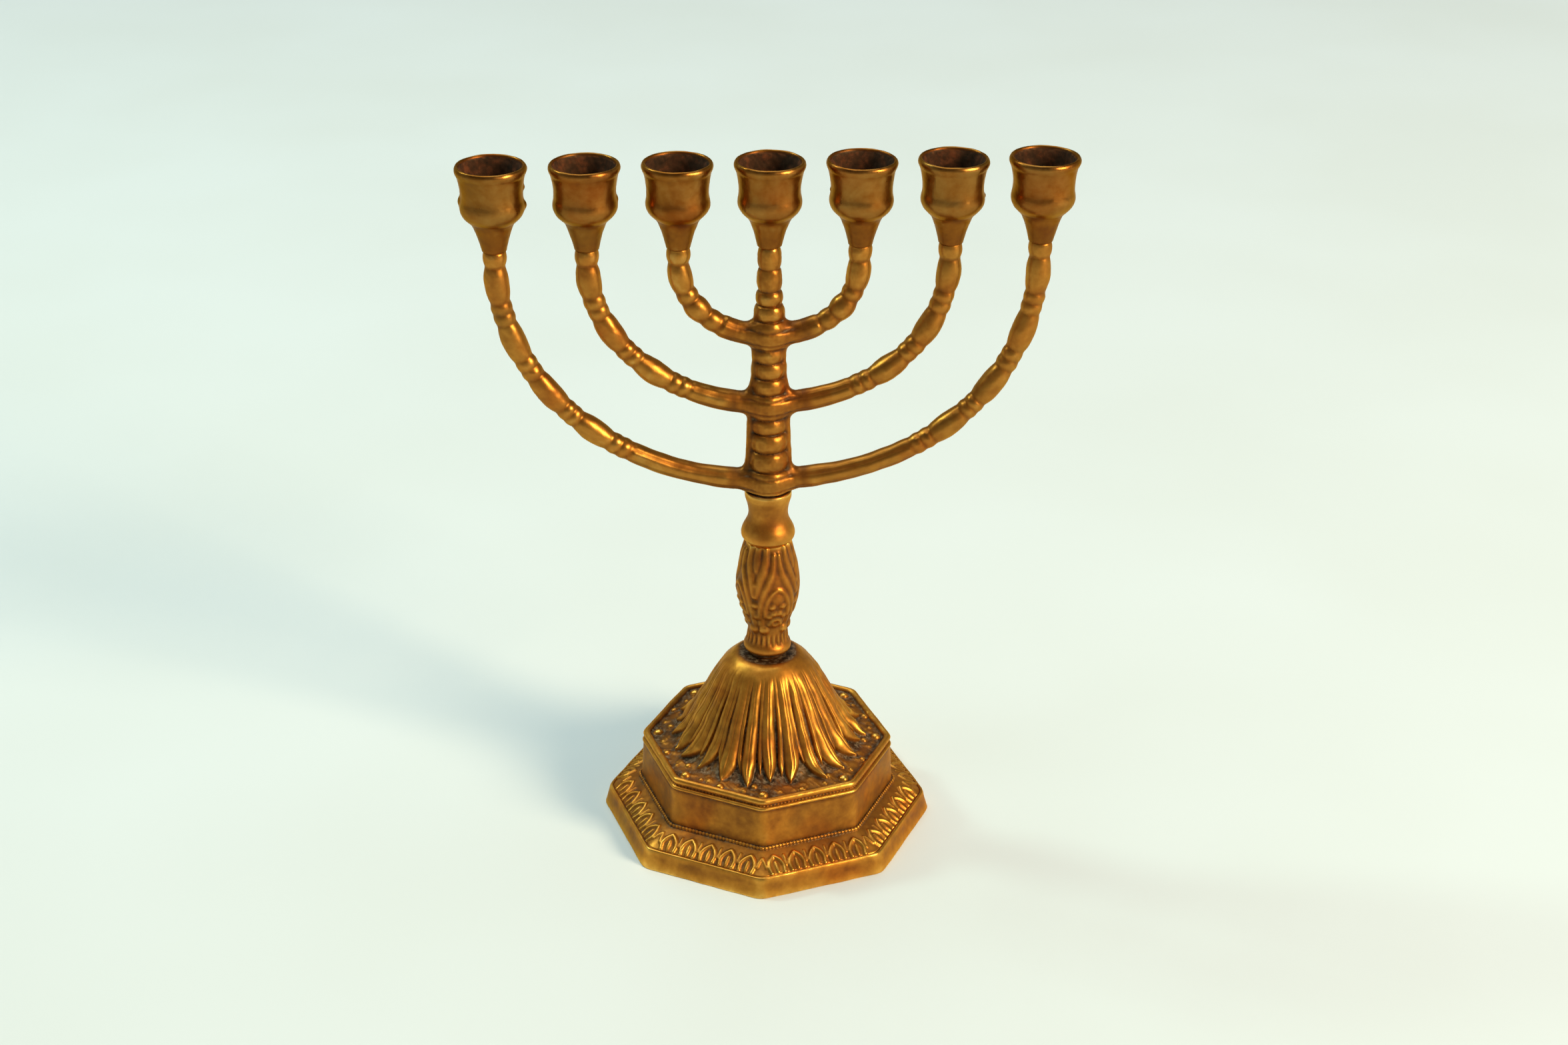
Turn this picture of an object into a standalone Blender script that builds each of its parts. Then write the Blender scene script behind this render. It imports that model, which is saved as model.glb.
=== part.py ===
"""A seven-branched brass candelabrum, 180 mm tall, as the pieces it is stacked from.

A hollow octagonal foot, a leaf vase, a collar and a branched head stand on one another, and a
tie rod with a nut under the foot clamps them. The head turns on the collar and the stem on the
foot, both about the upright axis. Metres, +Z up, origin on the floor under the middle of the foot.
"""

import math

import bmesh
import bpy
from mathutils import Matrix

# Driving dimensions, in metres.
HEIGHT = 0.180  # floor to the cups' rims
CUP_SPACING = 0.0217  # between neighbouring cups
GAP = 0.0003  # clearance between neighbouring pieces
FOOT_RADIUS = 0.04345  # to the foot's eight corners
FOOT_TURN = math.radians(-5.7)  # how far the foot has turned against the branches
WALL = 0.0024  # thickness of the foot's casting
FOOT_TOP = 0.0475
STEM_TOP = 0.0942
STEM_JOINT = 0.0802  # where the collar stands on the vase
CUP_BASE = 0.1588  # where a cup stands on its branch
CUP_FLOOR = 0.167
CUP_SEAT_RADIUS = 0.0062  # at the floor of the candle seat
ROD_RADIUS = 0.0016
BORE_RADIUS = ROD_RADIUS + 1.2 * GAP
ROD_BOTTOM = 0.0387
ROD_TOP = 0.1042
HUB_RADIUS = 0.0048
BRANCH_NECK = 0.0025  # a branch's radius at its grooves
BRANCH_BARREL = 0.003  # and at the crest of a barrel
BRANCH_BEAD = 0.00275
BRANCH_PLAIN = 0.0027  # along the plain stretch next to the column
BRANCH_LEVEL = 0.155  # height of the centre that all the branches curve about
BRANCH_ROOT = HUB_RADIUS + 1.2 * GAP  # where a branch starts, beside its hub
BRANCH_STUB = 0.0064  # inside this, a branch runs level
FLUTES = 26
FLUTE_DEPTH = 0.0005
COLUMN_STEPS = 24
CUP_STEPS = 20

# Each branch: its reach and drop, how full its curve is on the left and on the right (1 is an
# ellipse, and less bulges outwards), the arc lengths at which barrels start and end, and the
# number of beads between one barrel and the next.
BRANCHES = {
    "inner": (CUP_SPACING, 0.0191, (0.97, 0.90), (0.0, 0.0071, 0.0104, 0.0156, 0.0197), 1),
    "middle": (
        2 * CUP_SPACING,
        0.0372,
        (1.01, 0.945),
        (0.0, 0.008, 0.0141, 0.0228, 0.0285, 0.0375, 0.0431),
        2,
    ),
    "outer": (
        3 * CUP_SPACING,
        0.058,
        (1.0, 0.93),
        (0.0, 0.0089, 0.0149, 0.0245, 0.0305, 0.0404, 0.0457, 0.055, 0.061),
        2,
    ),
}


def clear_scene():
    for obj in list(bpy.data.objects):
        bpy.data.objects.remove(obj)


def new_collection(name):
    collection = bpy.data.collections.new(name)
    bpy.context.scene.collection.children.link(collection)
    return collection


def brass(name, colour, roughness):
    material = bpy.data.materials.new(name)
    material.use_nodes = True
    shader = material.node_tree.nodes["Principled BSDF"]
    shader.inputs["Base Color"].default_value = (*colour, 1.0)
    shader.inputs["Metallic"].default_value = 1.0
    shader.inputs["Roughness"].default_value = roughness
    return material


def add_object(name, mesh, collection, material=None):
    obj = bpy.data.objects.new(name, mesh)
    collection.objects.link(obj)
    if material:
        mesh.materials.append(material)
    return obj


def add_cutter(name, mesh):
    obj = add_object(name, mesh, cutters)
    obj.hide_render = True
    obj.display_type = "WIRE"
    return obj


def turned_mesh(name, profile, steps, closed=False):
    """The mesh of a (radius, height) profile turned about Z. An outer side runs from top to bottom."""
    line = bpy.data.meshes.new(name + "_profile")
    edges = [(i, i + 1) for i in range(len(profile) - 1)]
    if closed:
        edges.append((len(profile) - 1, 0))
    line.from_pydata([(radius, 0.0, height) for radius, height in profile], edges, [])
    obj = bpy.data.objects.new(name + "_profile", line)
    bpy.context.scene.collection.objects.link(obj)
    screw = obj.modifiers.new("turn", "SCREW")
    screw.steps = screw.render_steps = steps
    screw.use_merge_vertices = True
    screw.merge_threshold = 0.00001
    return baked(obj, name)


def baked(obj, name):
    """The object's evaluated mesh, with coincident points made one. The object itself is removed."""
    bpy.context.view_layer.update()
    graph = bpy.context.evaluated_depsgraph_get()
    mesh = bpy.data.meshes.new_from_object(obj.evaluated_get(graph))
    mesh.name = name
    mesh.transform(obj.matrix_world)
    bpy.data.objects.remove(obj)
    cage = bmesh.new()
    cage.from_mesh(mesh)
    bmesh.ops.remove_doubles(cage, verts=cage.verts, dist=0.00001)
    cage.to_mesh(mesh)
    cage.free()
    return mesh


def smooth(mesh, angle=40.0):
    mesh.shade_smooth()
    mesh.set_sharp_from_angle(angle=math.radians(angle))


def combine(obj, other, operation):
    modifier = obj.modifiers.new(other.name, "BOOLEAN")
    modifier.operation = operation
    modifier.object = other
    modifier.solver = "EXACT"


def drill(obj, top, bottom):
    """Cuts the tie rod's clearance hole from the object, between these heights."""
    hole = [(0.0, top), (BORE_RADIUS, top), (BORE_RADIUS, bottom), (0.0, bottom)]
    name = obj.name + "_hole"
    combine(obj, add_cutter(name, turned_mesh(name, hole, 16)), "DIFFERENCE")


def bead(top, bottom, groove, crest, points=2):
    """Profile points of a round bead, from its top groove to just above its bottom one."""
    found = []
    for i in range(points + 1):
        part = i / (points + 1)
        radius = groove + (crest - groove) * math.sin(math.pi * part) ** 0.7
        found.append((radius, top + (bottom - top) * part))
    return found


def make_foot(material):
    """One hollow casting: an octagonal plinth and a fluted dome on it."""
    plinth = turned_mesh(
        "foot_casting",
        [
            (0.0, 0.0222),
            (0.0308, 0.0218),
            (0.0314, 0.0225),
            (0.03206, 0.0225),
            (0.0325, 0.0216),
            (0.032, 0.0206),
            (0.0329, 0.0196),
            (0.0322, 0.0186),
            (0.0334, 0.0092),
            (0.0343, 0.0085),
            (0.0412, 0.0052),
            (0.042, 0.0046),
            (FOOT_RADIUS, 0.0),
            (0.0, 0.0),
        ],
        8,
    )
    foot = add_object("foot_casting", plinth, candelabrum, material)
    foot.rotation_euler.z = FOOT_TURN

    outside = [
        (0.0, FOOT_TOP),
        (0.0077, FOOT_TOP),
        (0.0099, 0.0463),
        (0.0127, 0.0439),
        (0.0150, 0.040),
        (0.0168, 0.037),
        (0.0182, 0.034),
        (0.0196, 0.031),
        (0.0212, 0.028),
        (0.0232, 0.025),
        (0.0262, 0.0228),
        (0.0262, 0.0200),
        (0.0, 0.0200),
    ]
    dome = turned_mesh("dome", outside, 2 * FLUTES)
    press_flutes(dome)
    combine(foot, add_cutter("dome", dome), "UNION")

    hollow = turned_mesh(
        "plinth_hollow",
        [
            (0.0, 0.0196),
            (0.0298, 0.0196),
            (0.0318, 0.0075),
            (FOOT_RADIUS - 1.3 * WALL, 0.003),
            (FOOT_RADIUS - 1.1 * WALL, -0.001),
            (0.0, -0.001),
        ],
        8,
    )
    hollow.transform(Matrix.Rotation(FOOT_TURN, 4, "Z"))
    combine(foot, add_cutter("plinth_hollow", hollow), "DIFFERENCE")

    inside = [
        (0.0, FOOT_TOP - 1.25 * WALL),
        (0.0079, FOOT_TOP - 1.25 * WALL),
        (0.0108, 0.0425),
        (0.0126, 0.040),
        (0.0156, 0.034),
        (0.0186, 0.028),
        (0.0206, 0.025),
        (0.0234, 0.0220),
        (0.0234, 0.0180),
        (0.0, 0.0180),
    ]
    combine(foot, add_cutter("dome_hollow", turned_mesh("dome_hollow", inside, 32)), "DIFFERENCE")
    drill(foot, FOOT_TOP + 0.002, FOOT_TOP - 3 * WALL)
    return foot


def press_flutes(dome):
    """Draws every other upright line of the dome inwards, deepest half-way down."""
    top, bottom = 0.0445, 0.0228
    for vertex in dome.vertices:
        x, y, z = vertex.co
        line = round(math.atan2(y, x) / (math.pi / FLUTES))
        if line % 2 and bottom <= z <= top:
            part = (top - z) / (top - bottom)
            radius = math.hypot(x, y)
            shrink = 1.0 - FLUTE_DEPTH * (0.4 + 0.6 * math.sin(math.pi * part)) / radius
            vertex.co.x *= shrink
            vertex.co.y *= shrink


def make_vase(material):
    top = STEM_JOINT - GAP
    profile = [
        (BORE_RADIUS, top),
        (0.0057, top),
        (0.0062, 0.0780),
        (0.0071, 0.0750),
        (0.0077, 0.0717),
        (0.0081, 0.0685),
        (0.0079, 0.0646),
        (0.0071, 0.0618),
        (0.0063, 0.0587),
        (0.0055, 0.0567),
        (0.0058, 0.0550),
        (0.0052, 0.0529),
        (0.0055, 0.0521),
        (0.006, 0.0514),
        (0.006, 0.0488),
        (0.0056, 0.0485),
        (0.0048, FOOT_TOP + 0.0009),
        (0.0048, FOOT_TOP + GAP),
        (BORE_RADIUS, FOOT_TOP + GAP),
    ]
    mesh = turned_mesh("stem_vase", profile, COLUMN_STEPS, closed=True)
    smooth(mesh)
    return add_object("stem_vase", mesh, candelabrum, material)


def make_collar(material):
    profile = [
        (BORE_RADIUS, STEM_TOP),
        (0.0056, STEM_TOP),
        (0.0058, STEM_TOP - 0.0003),
        (0.00575, 0.092),
        (0.0053, 0.0905),
        (0.005, 0.0884),
        (0.0053, 0.0864),
        (0.0061, 0.0845),
        (0.0067, 0.0828),
        (0.00675, 0.0816),
        (0.0063, 0.0806),
        (0.0059, STEM_JOINT),
        (BORE_RADIUS, STEM_JOINT),
    ]
    mesh = turned_mesh("stem_collar", profile, COLUMN_STEPS, closed=True)
    smooth(mesh)
    return add_object("stem_collar", mesh, candelabrum, material)


def make_column(material):
    """The head's middle: beads and three hubs, with webs in the branches' plane."""
    top = CUP_BASE - GAP
    bottom = STEM_TOP + GAP
    profile = [(0.0, top), (0.0025, top)]
    profile += bead(0.1582, 0.1531, 0.0025, 0.0029)
    profile += bead(0.1531, 0.1475, 0.0025, 0.0031)
    profile += bead(0.1475, 0.1441, 0.0028, 0.0033)
    profile += bead(0.1441, 0.1403, 0.003, 0.0036)
    profile += bead(0.1403, 0.1342, 0.0036, 0.0044)
    profile += bead(0.1342, 0.1296, 0.0031, 0.0035)
    profile += bead(0.1296, 0.1253, 0.0031, 0.0037)
    profile += bead(0.1253, 0.121, 0.0033, 0.004)
    profile += bead(0.121, 0.1157, 0.0038, 0.0047)
    profile += bead(0.1157, 0.1111, 0.0034, 0.0041)
    profile += bead(0.1111, 0.1062, 0.0036, 0.0044)
    profile += bead(0.1062, 0.1009, 0.0038, 0.0047)
    profile += [
        (0.004, 0.1009),
        (0.0046, 0.1002),
        (HUB_RADIUS, 0.0982),
        (HUB_RADIUS, 0.0958),
        (0.0045, bottom),
        (0.0, bottom),
    ]
    mesh = turned_mesh("centre_column", profile, COLUMN_STEPS)
    smooth(mesh, 50.0)
    column = add_object("centre_column", mesh, candelabrum, material)
    lower = [(0.007, 0.101), (0.0058, 0.1042), (0.0053, 0.109), (0.0051, 0.1142)]
    upper = [(0.0058, 0.1212), (0.0048, 0.1245), (0.0042, 0.130), (0.004, 0.133)]
    for name, side in (("lower_web", lower), ("upper_web", upper)):
        outline = side + [(-x, z) for x, z in reversed(side)]
        combine(column, add_cutter(name, plate_mesh(name, outline, 0.0012)), "UNION")
    drill(column, ROD_TOP + 2 * GAP, bottom - 0.001)
    return column


def plate_mesh(name, outline, half_thickness):
    """A flat outline of (x, z) points in the branches' plane, as a plate of the given half thickness."""
    curve = bpy.data.curves.new(name, "CURVE")
    curve.dimensions = "2D"
    curve.fill_mode = "BOTH"
    curve.extrude = half_thickness
    spline = curve.splines.new("POLY")
    spline.points.add(len(outline) - 1)
    for point, (x, z) in zip(spline.points, outline):
        point.co = (x, z, 0.0, 1.0)
    spline.use_cyclic_u = True
    obj = bpy.data.objects.new(name, curve)
    bpy.context.scene.collection.objects.link(obj)
    obj.rotation_euler.x = math.radians(90)
    return baked(obj, name)


def branch_radii(barrels, beads, length):
    """(arc length, radius) points down a branch, from its top to its root."""
    found = [(BRANCH_LEVEL - CUP_BASE + GAP, BRANCH_NECK), (-0.0018, BRANCH_BEAD)]
    for start, end, following in zip(barrels[::2], barrels[1::2], [*barrels[2::2], None]):
        for part in (0.0, 0.15, 0.5, 0.85):
            swell = math.sin(math.pi * part) ** 0.6
            radius = BRANCH_NECK + (BRANCH_BARREL - BRANCH_NECK) * swell
            found.append((start + (end - start) * part, radius))
        if following is None:
            continue
        width = (following - end) / beads
        for i in range(beads):
            found.append((end + i * width, BRANCH_NECK))
            found.append((end + (i + 0.5) * width, BRANCH_BEAD))
    plain_start = barrels[-1]
    found.append((plain_start, BRANCH_NECK))
    steps = max(3, round((length - plain_start) / 0.0045))
    for i in range(steps):
        part = (i + 0.25) / steps
        found.append((plain_start + (length - plain_start) * part, BRANCH_PLAIN))
    return found


def branch_path(reach, drop, fullness):
    """A function from arc length to (x, z), and the arc length at which the level stub starts."""
    count = 400
    last = math.acos((BRANCH_STUB / reach) ** (1 / fullness))
    points = []
    for i in range(count + 1):
        angle = last * i / count
        x = reach * math.cos(angle) ** fullness
        points.append((x, BRANCH_LEVEL - drop * math.sin(angle) ** fullness))
    lengths = [0.0]
    for (x0, z0), (x1, z1) in zip(points, points[1:]):
        lengths.append(lengths[-1] + math.hypot(x1 - x0, z1 - z0))

    def place(length):
        if length <= 0.0:
            return reach, BRANCH_LEVEL - length
        i = next(i for i in range(count) if lengths[i + 1] >= length or i == count - 1)
        part = (length - lengths[i]) / (lengths[i + 1] - lengths[i])
        (x0, z0), (x1, z1) = points[i], points[i + 1]
        return x0 + (x1 - x0) * part, z0 + (z1 - z0) * part

    return place, lengths[-1]


def make_branch(size, side, material):
    """One curved branch. side is 1 for the right one and -1 for the left one."""
    reach, drop, fullness, barrels, beads = BRANCHES[size]
    place, length = branch_path(reach, drop, fullness[side > 0])
    points = [(*place(along), radius) for along, radius in branch_radii(barrels, beads, length)]
    stub_height = place(length)[1]
    points.append((BRANCH_STUB, stub_height, BRANCH_PLAIN))
    points.append((BRANCH_ROOT, stub_height, BRANCH_PLAIN))
    name = f"branch_{size}_{'right' if side > 0 else 'left'}"
    curve = bpy.data.curves.new(name, "CURVE")
    curve.dimensions = "3D"
    curve.bevel_depth = 1.0
    curve.bevel_resolution = 3
    curve.use_fill_caps = True
    spline = curve.splines.new("POLY")
    spline.points.add(len(points) - 1)
    for point, (x, z, radius) in zip(spline.points, points):
        point.co = (side * x, 0.0, z, 1.0)
        point.radius = radius
    obj = bpy.data.objects.new(name, curve)
    bpy.context.scene.collection.objects.link(obj)
    mesh = baked(obj, name)
    smooth(mesh, 50.0)
    return add_object(name, mesh, candelabrum, material)


def make_cup(number, material):
    """A candle cup with a trumpet foot. Cup 1 is the leftmost and cup 4 stands on the column."""
    profile = [
        (0.0, CUP_FLOOR),
        (CUP_SEAT_RADIUS, CUP_FLOOR),
        (0.00655, 0.1745),
        (0.0069, 0.1788),
        (0.0073, HEIGHT),
        (0.008, HEIGHT),
        (0.0085, 0.179),
        (0.0081, 0.1774),
        (0.0074, 0.1738),
        (0.00735, 0.1718),
        (0.00765, 0.1697),
        (0.0072, 0.1677),
        (0.0054, 0.1659),
        (0.0045, 0.1642),
        (0.0037, 0.1616),
        (0.003, CUP_BASE),
        (0.0, CUP_BASE),
    ]
    name = f"candle_cup_{number}"
    mesh = turned_mesh(name, profile, CUP_STEPS)
    smooth(mesh, 50.0)
    cup = add_object(name, mesh, candelabrum, material)
    cup.location.x = (number - 4) * CUP_SPACING
    return cup


def make_fasteners(material):
    """The tie rod, and the washer and nut that draw it tight under the foot's roof."""
    chamfer = 0.0004
    rod = [
        (0.0, ROD_TOP),
        (ROD_RADIUS - chamfer, ROD_TOP),
        (ROD_RADIUS, ROD_TOP - chamfer),
        (ROD_RADIUS, ROD_BOTTOM + chamfer),
        (ROD_RADIUS - chamfer, ROD_BOTTOM),
        (0.0, ROD_BOTTOM),
    ]
    rod_mesh = turned_mesh("tie_rod", rod, 16)
    smooth(rod_mesh)
    add_object("tie_rod", rod_mesh, candelabrum, material)

    washer_top = FOOT_TOP - 1.25 * WALL - GAP
    washer = ring_profile(BORE_RADIUS, 0.005, washer_top, 0.001)
    washer_mesh = turned_mesh("washer", washer, COLUMN_STEPS, closed=True)
    smooth(washer_mesh)
    add_object("washer", washer_mesh, candelabrum, material)

    across_flats = 0.0064
    nut_top = washer_top - 0.001 - GAP
    nut = ring_profile(0.0012, across_flats / math.sqrt(3), nut_top, 0.0032)
    nut_obj = add_object("hex_nut", turned_mesh("hex_nut", nut, 6, closed=True), candelabrum, material)
    drill(nut_obj, FOOT_TOP, ROD_BOTTOM)


def ring_profile(inner, outer, top, height):
    return [(inner, top), (outer, top), (outer, top - height), (inner, top - height)]


clear_scene()
candelabrum = new_collection("candelabrum")
cutters = new_collection("cutters")
foot_brass = brass("foot_brass", (0.50, 0.27, 0.075), 0.38)
stem_brass = brass("stem_brass", (0.52, 0.29, 0.10), 0.42)
head_brass = brass("head_brass", (0.50, 0.28, 0.085), 0.40)
steel = brass("zinc_steel", (0.55, 0.55, 0.52), 0.45)

make_foot(foot_brass)
make_vase(stem_brass)
make_collar(stem_brass)
make_column(head_brass)
for branch_size in BRANCHES:
    for branch_side in (-1, 1):
        make_branch(branch_size, branch_side, head_brass)
for cup_number in range(1, 8):
    make_cup(cup_number, head_brass)
make_fasteners(steel)
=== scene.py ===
"""The looks of a seven-branched brass candelabrum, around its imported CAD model.

Every CAD node is replaced by a fine mesh in the same place. Most are grids of points, with rows
along a profile and columns around it, pushed out along their normals by the cast relief. The
column is the surface of a distance field, because its beads, webs and branch stubs run together.
Design lengths are in millimetres and meshes in metres, +Z up.
"""

import math

import bpy
import numpy as np
from mathutils import Matrix, Vector


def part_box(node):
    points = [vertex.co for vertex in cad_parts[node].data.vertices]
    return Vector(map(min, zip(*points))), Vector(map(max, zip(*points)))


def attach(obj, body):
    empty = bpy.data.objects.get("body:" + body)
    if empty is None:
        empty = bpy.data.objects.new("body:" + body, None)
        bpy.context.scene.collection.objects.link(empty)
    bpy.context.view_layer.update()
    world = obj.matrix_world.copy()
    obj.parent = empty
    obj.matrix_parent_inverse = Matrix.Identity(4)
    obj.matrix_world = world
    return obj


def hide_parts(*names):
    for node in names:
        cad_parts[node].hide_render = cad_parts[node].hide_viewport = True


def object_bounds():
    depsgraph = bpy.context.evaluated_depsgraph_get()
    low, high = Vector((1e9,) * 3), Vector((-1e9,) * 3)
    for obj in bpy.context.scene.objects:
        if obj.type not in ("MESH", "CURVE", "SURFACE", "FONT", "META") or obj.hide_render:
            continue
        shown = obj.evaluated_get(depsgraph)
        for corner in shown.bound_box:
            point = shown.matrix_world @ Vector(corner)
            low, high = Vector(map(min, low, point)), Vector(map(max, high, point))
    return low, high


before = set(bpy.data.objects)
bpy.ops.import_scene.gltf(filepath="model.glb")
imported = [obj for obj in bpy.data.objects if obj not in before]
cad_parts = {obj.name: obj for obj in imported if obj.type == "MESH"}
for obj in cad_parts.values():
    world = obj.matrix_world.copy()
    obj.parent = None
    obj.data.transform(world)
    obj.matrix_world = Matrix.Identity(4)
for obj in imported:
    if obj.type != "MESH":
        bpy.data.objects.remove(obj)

cad_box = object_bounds()

MM = 0.001
SEED = 7
TURN = 2 * math.pi
BORE = 1.96  # radius of the tie rod's hole, through every piece of the stack
STEM_JOINT = 80.2  # height of the groove between the vase and the collar

# The camera looks from the front, a little from the left and from above.
CAMERA_AZIMUTH = math.radians(-4.1)
CAMERA_ELEVATION = math.radians(26.76)
CAMERA_DISTANCE = 0.5995
CAMERA_LENS = 54.85
AIM_YAW = math.radians(0.43)
AIM_PITCH = math.radians(0.447)
CAMERA_ROLL = math.radians(0.516)


# ---- shapes in numbers


def node_box(node):
    """A CAD node's lowest and highest corners, in millimetres."""
    low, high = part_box(node)
    return np.array(low) / MM, np.array(high) / MM


def spline(points, step):
    """Points about a step apart on a smooth curve through the given points."""
    points = np.array(points, float)
    if len(points) == 2:
        count = max(1, round(np.linalg.norm(points[1] - points[0]) / step))
        part = np.linspace(0, 1, count + 1)[:, None]
        return points[0] * (1 - part) + points[1] * part
    ends = np.vstack([2 * points[0] - points[1], points, 2 * points[-1] - points[-2]])
    found = []
    for a, b, c, d in zip(ends, ends[1:], ends[2:], ends[3:]):
        count = max(1, round(np.linalg.norm((c - b)[:2]) / step))
        t = np.arange(count)[:, None] / count
        square = (2 * a - 5 * b + 4 * c - d) * t**2
        cube = (3 * b - a - 3 * c + d) * t**3
        found.append(0.5 * (2 * b + (c - a) * t + square + cube))
    return np.vstack([*found, points[-1:]])


def outline(start, *runs):
    """One profile from start through runs of (step, point, ...), smooth but for a corner between."""
    parts = [np.array([start], float)]
    for step, *points in runs:
        parts.append(spline([parts[-1][-1], *points], step)[1:])
    return np.vstack(parts)


def waves(points, size, seed=0, count=14):
    """A smooth random field over points, about -1 to 1, with bumps of about the given size."""
    rng = np.random.default_rng(SEED + seed)
    total = np.zeros(points.shape[:-1])
    for _ in range(count):
        direction = rng.normal(size=points.shape[-1])
        direction *= rng.uniform(0.6, 1.4) * TURN / (size * np.linalg.norm(direction))
        total += np.sin(points @ direction + rng.uniform(0, TURN))
    return total / math.sqrt(count)


def smoothstep(value, low, high):
    """0 below low, 1 above high, and a smooth rise between them."""
    part = np.clip((value - low) / (high - low), 0, 1)
    return part * part * (3 - 2 * part)


def unevenness(points, size, amount, seed=0):
    """How far a cast surface strays, up to about amount, in bumps of the given size."""
    return amount * waves(points, size, seed)


def round_angles(columns):
    return np.arange(columns) * TURN / columns


def turned(profile, columns):
    """The grid of a (radius, height) profile turned about Z, which runs down its outer side."""
    angle = round_angles(columns)
    radius = profile[:, :1] * np.ones(columns)
    height = profile[:, 1:2] * np.ones(columns)
    return np.stack([radius * np.cos(angle), radius * np.sin(angle), height], -1)


def grid_normals(points, wrap_rows):
    """Outward normals of a grid whose columns close around, and whose rows do if wrap_rows."""
    down = np.roll(points, -1, 0) - np.roll(points, 1, 0)
    if not wrap_rows:
        down[0] = points[1] - points[0]
        down[-1] = points[-1] - points[-2]
    around = np.roll(points, -1, 1) - np.roll(points, 1, 1)
    normals = np.cross(down, around)
    length = np.linalg.norm(normals, axis=-1, keepdims=True)
    return normals / np.maximum(length, 1e-12)


def averaged(points, wrap_rows, rounds):
    """The grid with each point averaged with its four neighbours, this many times."""
    for _ in range(rounds):
        above, below = np.roll(points, 1, 0), np.roll(points, -1, 0)
        if not wrap_rows:
            above[0], below[-1] = points[0], points[-1]
        sides = np.roll(points, 1, 1) + np.roll(points, -1, 1)
        points = (above + below + sides) / 4
    return points


def wear_of(points, wrap_rows, rounds, scale):
    """How far each point stands out of its surroundings: 1 on a rubbed ridge, -1 deep in a hollow."""
    normals = grid_normals(points, wrap_rows)
    stands_out = ((points - averaged(points, wrap_rows, rounds)) * normals).sum(-1)
    return np.clip(stands_out / scale, -1, 1)


def ridges(x, y, strokes, power=0.75):
    """The height of raised strokes at (x, y). A stroke is (points, half width, height, taper)."""
    height = np.zeros(x.shape)
    for points, half_width, crest, taper in strokes:
        line = spline(points, 0.5)
        best = np.zeros(x.shape)
        for i in range(len(line) - 1):
            (x0, y0), (x1, y1) = line[i], line[i + 1]
            dx, dy = x1 - x0, y1 - y0
            part = np.clip(((x - x0) * dx + (y - y0) * dy) / (dx * dx + dy * dy + 1e-12), 0, 1)
            away = np.hypot(x - x0 - part * dx, y - y0 - part * dy)
            along = (i + part) / (len(line) - 1)
            width = half_width * (1 - taper * np.abs(2 * along - 1) ** 2)
            best = np.maximum(best, np.clip(1 - (away / width) ** 2, 0, 1) ** power)
        height = np.maximum(height, crest * best)
    return height


def pellets(x, y, centres, radius, height):
    """Small round buttons at the given centres."""
    found = np.zeros(x.shape)
    for cx, cy in centres:
        away = np.hypot(x - cx, y - cy) / radius
        found = np.maximum(found, height * np.sqrt(np.clip(1 - away**2, 0, 1)))
    return found


# ---- meshes


def placed(name, data):
    """A new object in the scene."""
    made = bpy.data.objects.new(name, data)
    bpy.context.scene.collection.objects.link(made)
    return made


def finish_piece(node, vertices, corners, sizes, wear_and_shade, inside, body, material):
    """The smooth piece that stands for a CAD node, from points in millimetres.

    corners lists the points of each face in turn, and sizes how many each face has.
    wear_and_shade and inside are values by point that the materials read: the first runs from rubbed
    ridges to dirty hollows, with painted shade added in places, and the second marks the cups' seats.
    """
    mesh = bpy.data.meshes.new(node + "_fine")
    mesh.vertices.add(len(vertices))
    mesh.vertices.foreach_set("co", (vertices * MM).astype(np.float32).reshape(-1))
    mesh.loops.add(len(corners))
    mesh.loops.foreach_set("vertex_index", corners.astype(np.int32))
    mesh.polygons.add(len(sizes))
    starts = np.concatenate([[0], np.cumsum(sizes)[:-1]])
    mesh.polygons.foreach_set("loop_start", starts.astype(np.int32))
    mesh.update(calc_edges=True)
    mesh.shade_smooth()
    for label, values in (("wear_and_shade", wear_and_shade), ("inside", inside)):
        attribute = mesh.attributes.new(label, "FLOAT", "POINT")
        attribute.data.foreach_set("value", values.astype(np.float32))
    mesh.materials.append(material)
    piece = placed(node + "_fine", mesh)
    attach(piece, body)
    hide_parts(node)


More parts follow.
